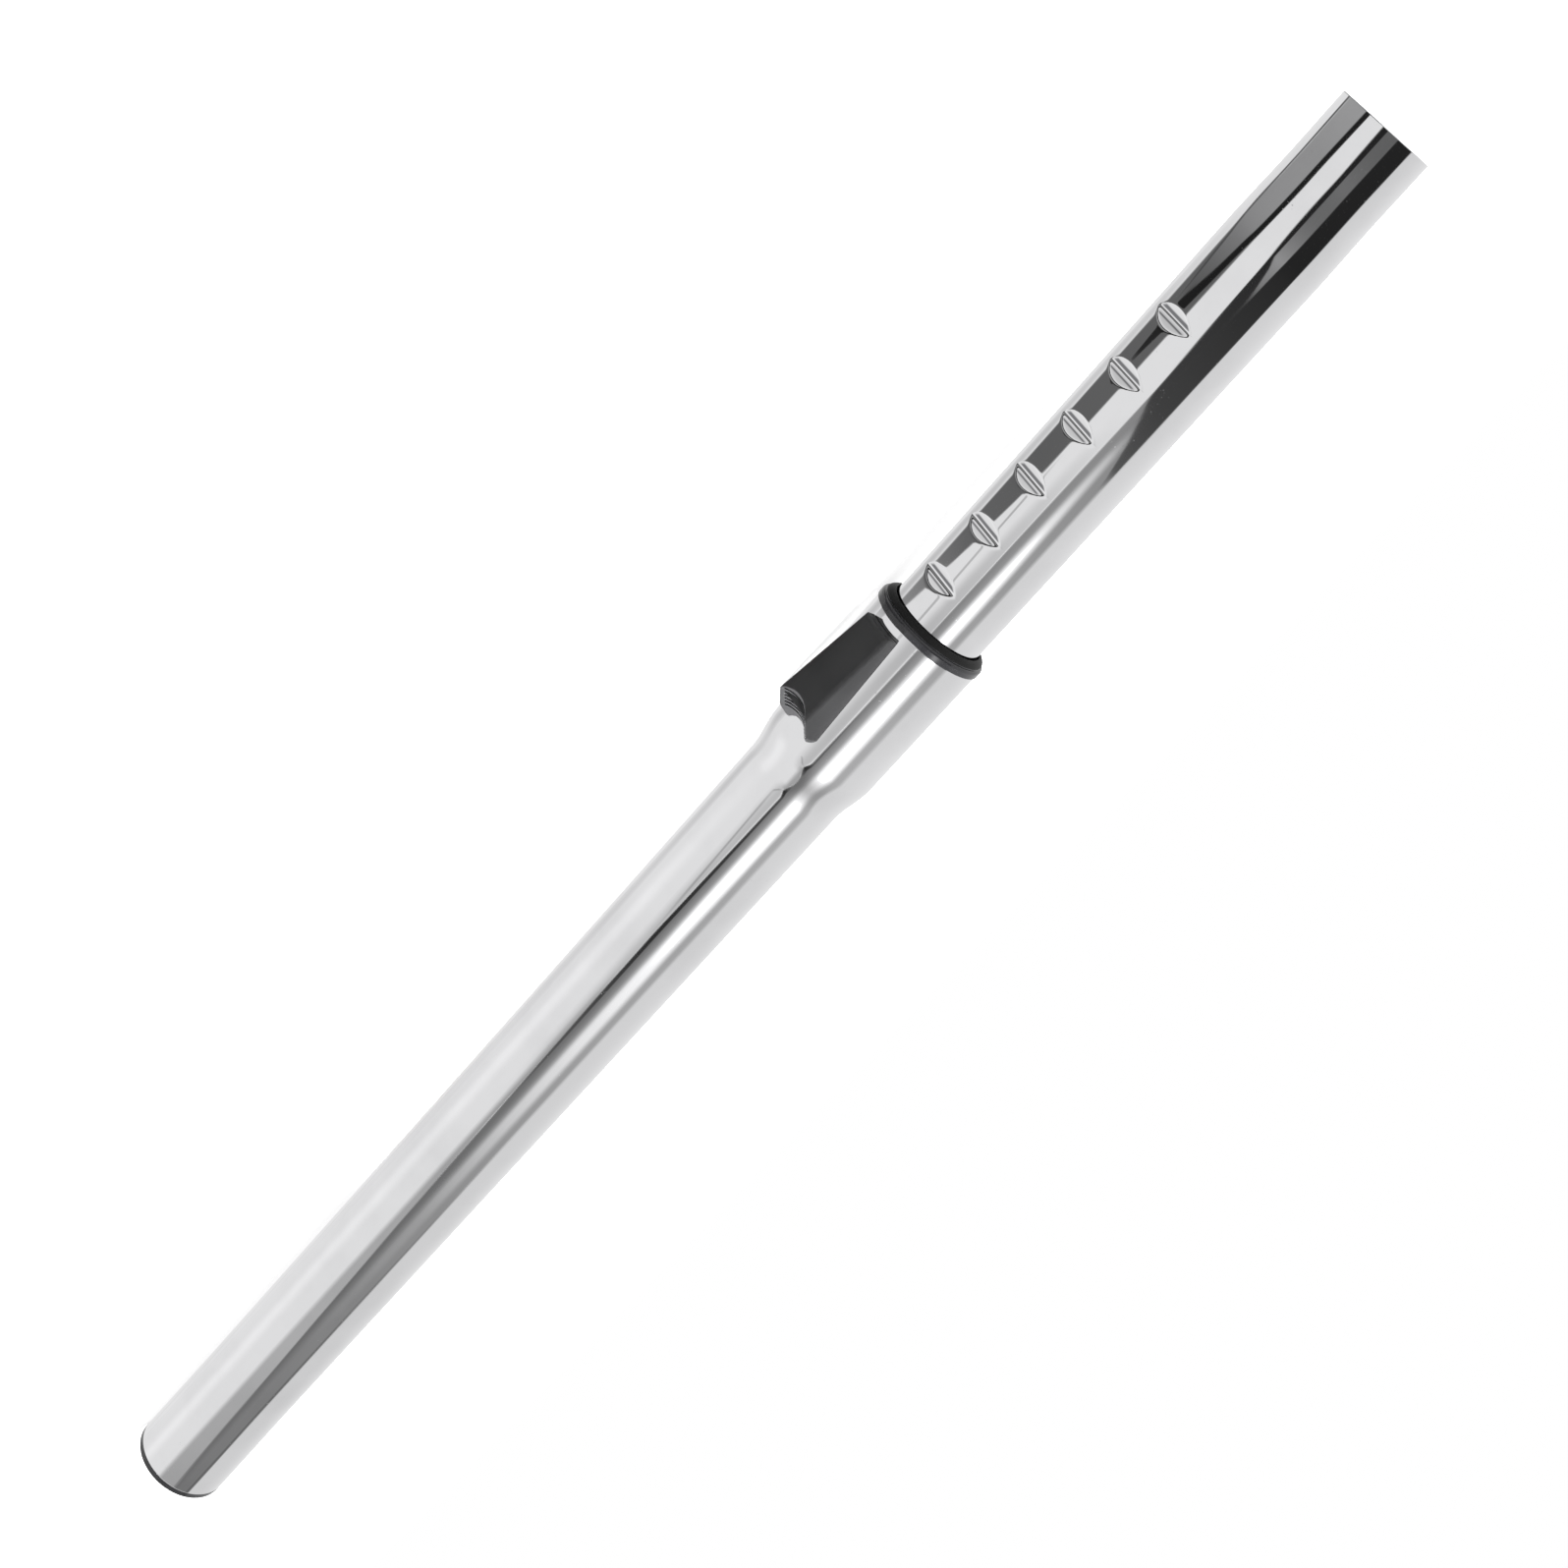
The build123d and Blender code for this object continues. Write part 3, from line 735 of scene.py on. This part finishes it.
print(edge_wear_highlight.name, len(edge_wear_highlight.nodes), "nodes")

# %% [markdown]
# ## Chrome
# Bright chrome plate is a mirror with a trace of haze. Fine lines run along the tube from polishing,
# smudges dull it a little, and small specks catch the light. The lines come from a noise
# stretched along X, used as a very shallow bump and as a change of roughness.

# %% Material helpers


def new_material(name):
    """Material with its Principled shader."""
    paint = bpy.data.materials.new(name)
    paint.use_nodes = True
    return paint, paint.node_tree, paint.node_tree.nodes["Principled BSDF"]


def use_group(tree, group, **values):
    """Place a group with its own values."""
    node = tree.nodes.new("ShaderNodeGroup")
    node.node_tree = group
    for key, value in values.items():
        node.inputs[key.replace("_", " ")].default_value = value
    return node


def blend_colors(tree, factor, first, second):
    """Mix two plain colours by a mask."""
    node = place(tree, "ShaderNodeMix", data_type="RGBA")
    node.inputs[6].default_value = (*first, 1)
    node.inputs[7].default_value = (*second, 1)
    tree.links.new(factor, node.inputs[0])
    return node.outputs[2]


def blend_into(tree, factor, color, second):
    """Mix a varying colour with a plain one by a mask."""
    node = place(tree, "ShaderNodeMix", data_type="RGBA")
    node.inputs[7].default_value = (*second, 1)
    tree.links.new(factor, node.inputs[0])
    tree.links.new(color, node.inputs[6])
    return node.outputs[2]


def add_up(tree, first, second):
    """Sum of two values."""
    node = place(tree, "ShaderNodeMath", operation="ADD")
    tree.links.new(first, node.inputs[0])
    tree.links.new(second, node.inputs[1])
    return node.outputs[0]


def bump(tree, height, shader, strength, distance):
    """Bump that feeds the shader's normal."""
    node = place(tree, "ShaderNodeBump", Strength=strength, Distance=distance)
    tree.links.new(height, node.inputs["Height"])
    tree.links.new(node.outputs["Normal"], shader.inputs["Normal"])


helpers = (new_material, use_group, blend_colors, blend_into, add_up, bump)
print("material helpers", [helper.__name__ for helper in helpers])

# %% Chrome material
CHROME_CLEAN, CHROME_SMUDGED = (0.82, 0.82, 0.83), (0.76, 0.76, 0.77)
# The near-black colour is painted shade for the notch slopes.
CHROME_PAINTED_SHADE = (0.09, 0.09, 0.1)
CHROME_HAZE, LINE_HAZE, SPECK_HAZE = (0.035, 0.075), 0.03, 0.3
LINE_STRETCH = (6, 900, 900)

chrome, tree, shader = new_material("bright_chrome")
shader.inputs["Metallic"].default_value = 1.0
touched = use_group(tree, marks, Size=26.0, Speck_Size=700.0)
where = tree.nodes.new("ShaderNodeTexCoord")
stretch = place(tree, "ShaderNodeMapping")
stretch.inputs["Scale"].default_value = LINE_STRETCH
tree.links.new(where.outputs["Object"], stretch.inputs["Vector"])
lines = place(tree, "ShaderNodeTexNoise", Scale=1.0, Detail=3.0)
tree.links.new(stretch.outputs["Vector"], lines.inputs["Vector"])
smudge_haze = remap(tree, touched.outputs["Smudge"], 0, 1, *CHROME_HAZE)
line_haze = remap(tree, lines.outputs["Fac"], 0.45, 0.75, 0, LINE_HAZE)
speck_haze = remap(tree, touched.outputs["Speck"], 0, 1, 0, SPECK_HAZE)
haze = add_up(tree, add_up(tree, smudge_haze, line_haze), speck_haze)
tree.links.new(haze, shader.inputs["Roughness"])
plate = blend_colors(tree, touched.outputs["Smudge"], CHROME_CLEAN, CHROME_SMUDGED)
# Painted shade: the notch value darkens the chrome's colour to near black on the notch slopes.
notch_shade_value = place(tree, "ShaderNodeAttribute", attribute_name="notch_shade")
plate = blend_into(tree, notch_shade_value.outputs["Fac"], plate, CHROME_PAINTED_SHADE)
tree.links.new(plate, shader.inputs["Base Color"])
bump(tree, lines.outputs["Fac"], shader, 0.03, 0.0002)
for piece in (outer_piece, inner_piece):
    piece.data.materials.append(chrome)
print(chrome.name, len(tree.nodes), "nodes")

# %% [markdown]
# ## Black mouldings and rubber
# Collar, liner and slider are satin black mouldings. Grain breaks up the highlight, and the ridges are a
# touch smoother from wear and a touch lighter, partly from wear and partly as a painted highlight. The
# collar's lip, past its groove, has a duller finish and a darker copy of the collar's colour, which is
# painted shade. The wiper is soft
# rubber: duller still, with a coarser grain.

# %% Black finishes
EDGE_LIGHTEN_GAIN, EDGE_LIGHTEN_SHARE, WORN_POLISH = 2.2, 0.4, -0.1
DUST_SPREAD = (-0.05, 0.06)
GRAIN_STRENGTH = 0.25


def black_moulding(name, dark, light, rough, ior, grain_size, grain_depth, edge_width):
    """Satin moulded finish with grain, and edges lightened partly by wear and partly by a painted
    highlight.
    """
    paint, tree, shader = new_material(name)
    texture = use_group(tree, grain, Size=grain_size)
    ridge = use_group(tree, edge_wear_highlight, Width=edge_width)
    dust = use_group(tree, marks, Size=60.0, Speck_Size=1500.0)
    base = blend_colors(tree, texture.outputs["Tint"], dark, light)
    # Edges lighten: partly wear, partly a painted highlight.
    wear_and_highlight_colour = [EDGE_LIGHTEN_GAIN * v for v in light]
    wear_and_highlight_amount = remap(tree, ridge.outputs["Edge"], 0, 1, 0, EDGE_LIGHTEN_SHARE)
    tree.links.new(blend_into(tree, wear_and_highlight_amount, base, wear_and_highlight_colour), shader.inputs["Base Color"])
    spread = remap(tree, dust.outputs["Smudge"], 0, 1, rough + DUST_SPREAD[0], rough + DUST_SPREAD[1])
    polish = remap(tree, ridge.outputs["Edge"], 0, 1, 0, WORN_POLISH)
    tree.links.new(add_up(tree, spread, polish), shader.inputs["Roughness"])
    shader.inputs["IOR"].default_value = ior
    bump(tree, texture.outputs["Height"], shader, GRAIN_STRENGTH, grain_depth)
    return paint


collar_black = black_moulding(
    "collar_black", dark=(0.008, 0.008, 0.009), light=(0.013, 0.013, 0.014), rough=0.16, ior=1.5,
    grain_size=2600, grain_depth=0.00002, edge_width=0.0002)
slider_black = black_moulding(
    "slider_black", dark=(0.0125, 0.0125, 0.013), light=(0.016, 0.016, 0.0165), rough=0.4, ior=1.34,
    grain_size=2400, grain_depth=0.000012, edge_width=0.00025)
rubber_black = black_moulding(
    "wiper_rubber", dark=(0.006, 0.006, 0.006), light=(0.012, 0.012, 0.012), rough=0.7, ior=1.4,
    grain_size=1800, grain_depth=0.00006, edge_width=0.0002)
# Painted shade: the lip is a darker copy of the collar's colour. Its higher roughness and lower IOR make it
# duller.
shaded_lip_black = black_moulding(
    "collar_lip_painted_shade", dark=(0.004, 0.004, 0.004), light=(0.007, 0.007, 0.007), rough=0.45, ior=1.2,
    grain_size=2600, grain_depth=0.00002, edge_width=0.0002)
print("black finishes", collar_black.name, shaded_lip_black.name, slider_black.name, rubber_black.name)

# %% Dress the black pieces
# Faces past the groove take the lip finish with its painted shade.
LIP_START = MM * (MOUTH + 3.5)
collar_piece.data.materials.append(collar_black)
collar_piece.data.materials.append(shaded_lip_black)
for face in collar_piece.data.polygons:
    if face.center.x > LIP_START:
        face.material_index = 1
liner_piece.data.materials.append(collar_black)
wiper_piece.data.materials.append(rubber_black)


def dress(node, paint):
    """Give a CAD node a finished material."""
    node.data.materials.clear()
    node.data.materials.append(paint)


dress(nodes["release_slider"], slider_black)
dress(nodes["seal_ring"], rubber_black)
print("lip faces", sum(face.material_index for face in collar_piece.data.polygons))

# %% [markdown]
# ## Hidden guides and steel
# The sleeve and the glide ring inside the tube are pale low-friction mouldings. The roller and the
# springs are plain drawn steel, and so is the inside of both tubes, which the plating doesn't reach. A face
# lies inside when its normal points to the axis.

# %% Guide plastic
GUIDE_CLEAN, GUIDE_SOILED, GUIDE_ROUGH = (0.6, 0.6, 0.58), (0.42, 0.42, 0.4), (0.4, 0.55)

guide_pale, tree, shader = new_material("guide_pale")
texture = use_group(tree, grain, Size=1500.0)
soil = use_group(tree, marks, Size=90.0, Speck_Size=1200.0)
soiled = blend_colors(tree, soil.outputs["Smudge"], GUIDE_CLEAN, GUIDE_SOILED)
tree.links.new(soiled, shader.inputs["Base Color"])
tree.links.new(remap(tree, texture.outputs["Tint"], 0, 1, *GUIDE_ROUGH), shader.inputs["Roughness"])
bump(tree, texture.outputs["Height"], shader, 0.2, 0.00005)
for name in ("guide_sleeve", "glide_ring"):
    dress(nodes[name], guide_pale)
print(guide_pale.name, len(tree.nodes), "nodes")

# %% Drawn steel
STEEL_CLEAN, STEEL_OILED, STEEL_ROUGH = (0.6, 0.6, 0.61), (0.42, 0.41, 0.4), (0.25, 0.4)
INWARD = -0.01

drawn_steel, tree, shader = new_material("drawn_steel")
shader.inputs["Metallic"].default_value = 1.0
texture = use_group(tree, grain, Size=4000.0)
oil = use_group(tree, marks, Size=200.0, Speck_Size=2000.0)
oiled = blend_colors(tree, oil.outputs["Smudge"], STEEL_CLEAN, STEEL_OILED)
tree.links.new(oiled, shader.inputs["Base Color"])
tree.links.new(remap(tree, texture.outputs["Tint"], 0, 1, *STEEL_ROUGH), shader.inputs["Roughness"])
bump(tree, texture.outputs["Height"], shader, 0.15, 0.00003)
dress(nodes["lock_roller"], drawn_steel)
for piece in (outer_piece, inner_piece):
    piece.data.materials.append(drawn_steel)
    for face in piece.data.polygons:
        if face.center.y * face.normal.y + face.center.z * face.normal.z < INWARD:
            face.material_index = 1
print(drawn_steel.name, len(tree.nodes), "nodes")

# %% [markdown]
# ## Return springs
# Two small coil springs push the slider back. A coil can't ride one body, because one end stays and the
# other follows the slider. Here each is a copy of its CAD coil in drawn steel, carried by the outer tube.

# %% Spring copies
release = next(j for j in frame["record"]["behaviour"]["joints"] if j["name"] == "slider_release")
for spring in release["deforming_nodes"]:
    name = spring["node"]
    coil = bpy.data.objects.new(name.replace("return", "coil"), nodes[name].data.copy())
    bpy.context.scene.collection.objects.link(coil)
    dress(coil, drawn_steel)
    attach(coil, "outer")
    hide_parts(name)
    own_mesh(coil)
